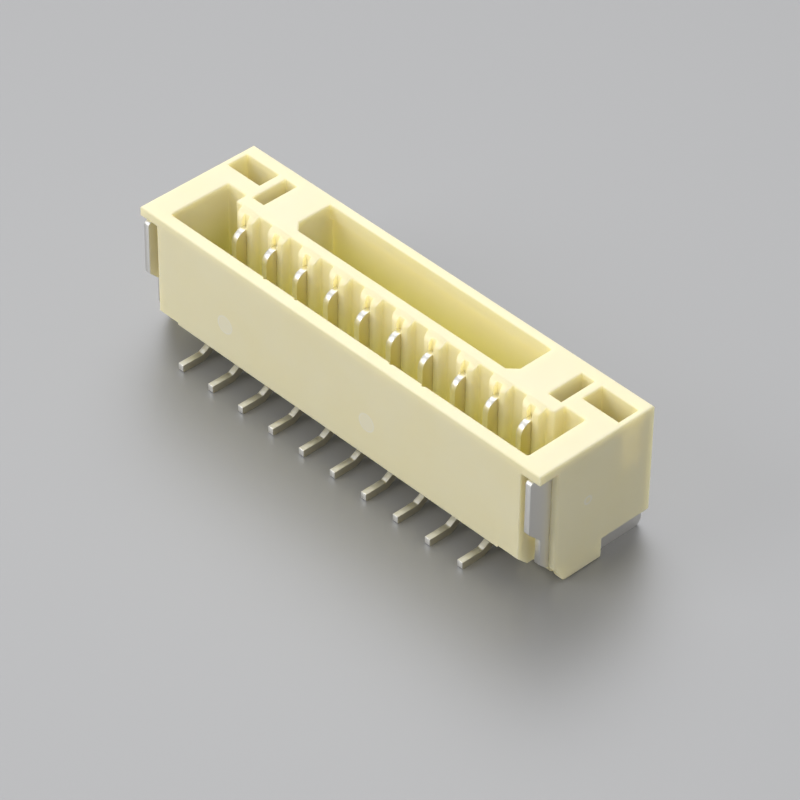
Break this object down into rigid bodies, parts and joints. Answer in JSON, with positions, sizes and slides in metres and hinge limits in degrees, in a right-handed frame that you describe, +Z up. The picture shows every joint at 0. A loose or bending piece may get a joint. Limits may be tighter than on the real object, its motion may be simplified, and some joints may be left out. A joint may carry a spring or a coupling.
{
  "type": "wire-to-board connector header",
  "caption": "Upright surface-mount header for a cable plug: moulded housing with an open mating socket, a comb of stamped blade contacts, a latch socket and solder tabs.",
  "frame": {"origin": "in the board plane, under the middle of the housing's length and depth", "axes": "+X along the row of contacts, -Y towards the contact tails, +Z up from the board towards the mating plug"},
  "size_m": [0.0158, 0.0048, 0.0043],
  "materials": {
    "nylon": "natural nylon, smooth moulded and slightly see-through",
    "contact_plating": "bright tin plate over copper alloy",
    "tab_plating": "matt tin plate over copper alloy"
  },
  "bodies": {
    "root": {"housing": "nylon", "contact_01": "contact_plating", "contact_02": "contact_plating", "contact_03": "contact_plating", "contact_04": "contact_plating", "contact_05": "contact_plating", "contact_06": "contact_plating", "contact_07": "contact_plating", "contact_08": "contact_plating", "contact_09": "contact_plating", "contact_10": "contact_plating", "solder_tab_left": "tab_plating", "solder_tab_right": "tab_plating"}
  },
  "joints": []
}
